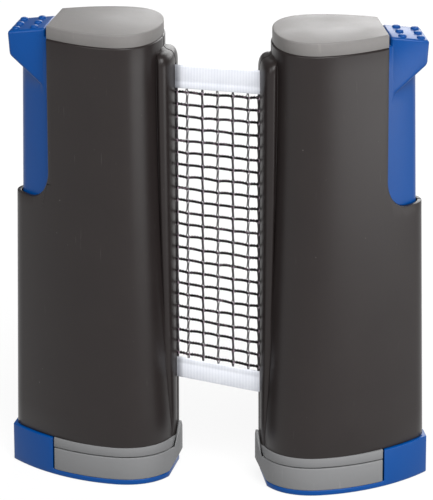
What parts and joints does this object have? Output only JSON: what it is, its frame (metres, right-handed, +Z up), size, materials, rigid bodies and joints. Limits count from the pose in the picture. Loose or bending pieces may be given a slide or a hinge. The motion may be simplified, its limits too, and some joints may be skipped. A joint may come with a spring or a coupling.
{
  "type": "retractable table tennis net with clamp posts",
  "caption": "Two plastic posts with sprung table clamps and inner spools that hold a retractable net with white tapes between them.",
  "frame": {"origin": "middle of the set's bounding box, on the plane that the two lower jaws stand on", "axes": "+Z up along the posts, +X from the left post to the right post, -Y towards the viewer"},
  "size_m": [0.1928, 0.0646, 0.2161],
  "materials": {
    "charcoal_plastic": "semi-gloss moulded",
    "blue_plastic": "gloss moulded",
    "grey_plastic": "satin moulded",
    "natural_plastic": "plain moulded",
    "rubber": "matt",
    "steel": "zinc plated",
    "white_tape": "ribbed woven tape",
    "black_cord": "twisted cord"
  },
  "bodies": {
    "left_post": {"left_front_casing": "charcoal_plastic", "left_rear_casing": "charcoal_plastic", "left_top_cap": "grey_plastic", "left_upper_jaw": "grey_plastic", "left_table_pad": "rubber", "left_net_lead": "black_cord", "left_spool_axle": "steel", "left_spring_anchor": "natural_plastic", "left_guide_rod": "steel", "left_clamp_spring": "steel", "left_casing_screw_1": "steel", "left_casing_screw_2": "steel", "left_casing_screw_3": "steel", "left_casing_screw_4": "steel", "net_mesh": "black_cord", "top_tape": "white_tape", "bottom_tape": "white_tape"},
    "left_jaw": {"left_thumb_slider": "blue_plastic", "left_lower_jaw": "blue_plastic", "left_jaw_pad": "grey_plastic", "left_jaw_screw_1": "steel", "left_jaw_screw_2": "steel"},
    "left_spool": {"left_spool_tube": "natural_plastic", "left_upper_bush": "natural_plastic", "left_lower_bush": "natural_plastic", "left_spool_spring": "steel", "left_net_roll": "black_cord"},
    "right_post": {"right_front_casing": "charcoal_plastic", "right_rear_casing": "charcoal_plastic", "right_top_cap": "grey_plastic", "right_upper_jaw": "grey_plastic", "right_table_pad": "rubber", "right_net_lead": "black_cord", "right_spool_axle": "steel", "right_spring_anchor": "natural_plastic", "right_guide_rod": "steel", "right_clamp_spring": "steel", "right_casing_screw_1": "steel", "right_casing_screw_2": "steel", "right_casing_screw_3": "steel", "right_casing_screw_4": "steel"},
    "right_jaw": {"right_thumb_slider": "blue_plastic", "right_lower_jaw": "blue_plastic", "right_jaw_pad": "grey_plastic", "right_jaw_screw_1": "steel", "right_jaw_screw_2": "steel"},
    "right_spool": {"right_spool_tube": "natural_plastic", "right_upper_bush": "natural_plastic", "right_lower_bush": "natural_plastic", "right_spool_spring": "steel", "right_net_roll": "black_cord"}
  },
  "joints": [
    {"name": "left_clamp", "type": "slide", "parent": "left_post", "child": "left_jaw", "axis": [0, 0, -1], "range_m": [0, 0.044], "stiffness_N_per_m": 300, "springref_m": -0.04, "deforming": ["left_clamp_spring"]},
    {"name": "right_clamp", "type": "slide", "parent": "right_post", "child": "right_jaw", "axis": [0, 0, -1], "range_m": [0, 0.044], "stiffness_N_per_m": 300, "springref_m": -0.04, "deforming": ["right_clamp_spring"]},
    {"name": "net_pull_out", "type": "slide", "parent": "left_post", "child": "right_post", "axis": [0.9558, -0.2941, 0], "range_m": [-0.03, 1.66], "stiffness_N_per_m": 1.5, "springref_m": -0.4, "deforming": ["net_mesh", "top_tape", "bottom_tape"]},
    {"name": "left_spool_turn", "type": "hinge", "parent": "left_post", "child": "left_spool", "pos_m": [-0.04467, 0.00645, 0.1], "axis": [0, 0, 1], "range_deg": [-3810, 75]},
    {"name": "right_spool_turn", "type": "hinge", "parent": "right_post", "child": "right_spool", "pos_m": [0.04419, -0.00672, 0.1], "axis": [0, 0, 1], "range_deg": [-75, 3810]}
  ],
  "couplings": [
    {"joint": "left_spool_turn", "follows": "net_pull_out", "rad_per_m": -40},
    {"joint": "right_spool_turn", "follows": "net_pull_out", "rad_per_m": 40}
  ]
}
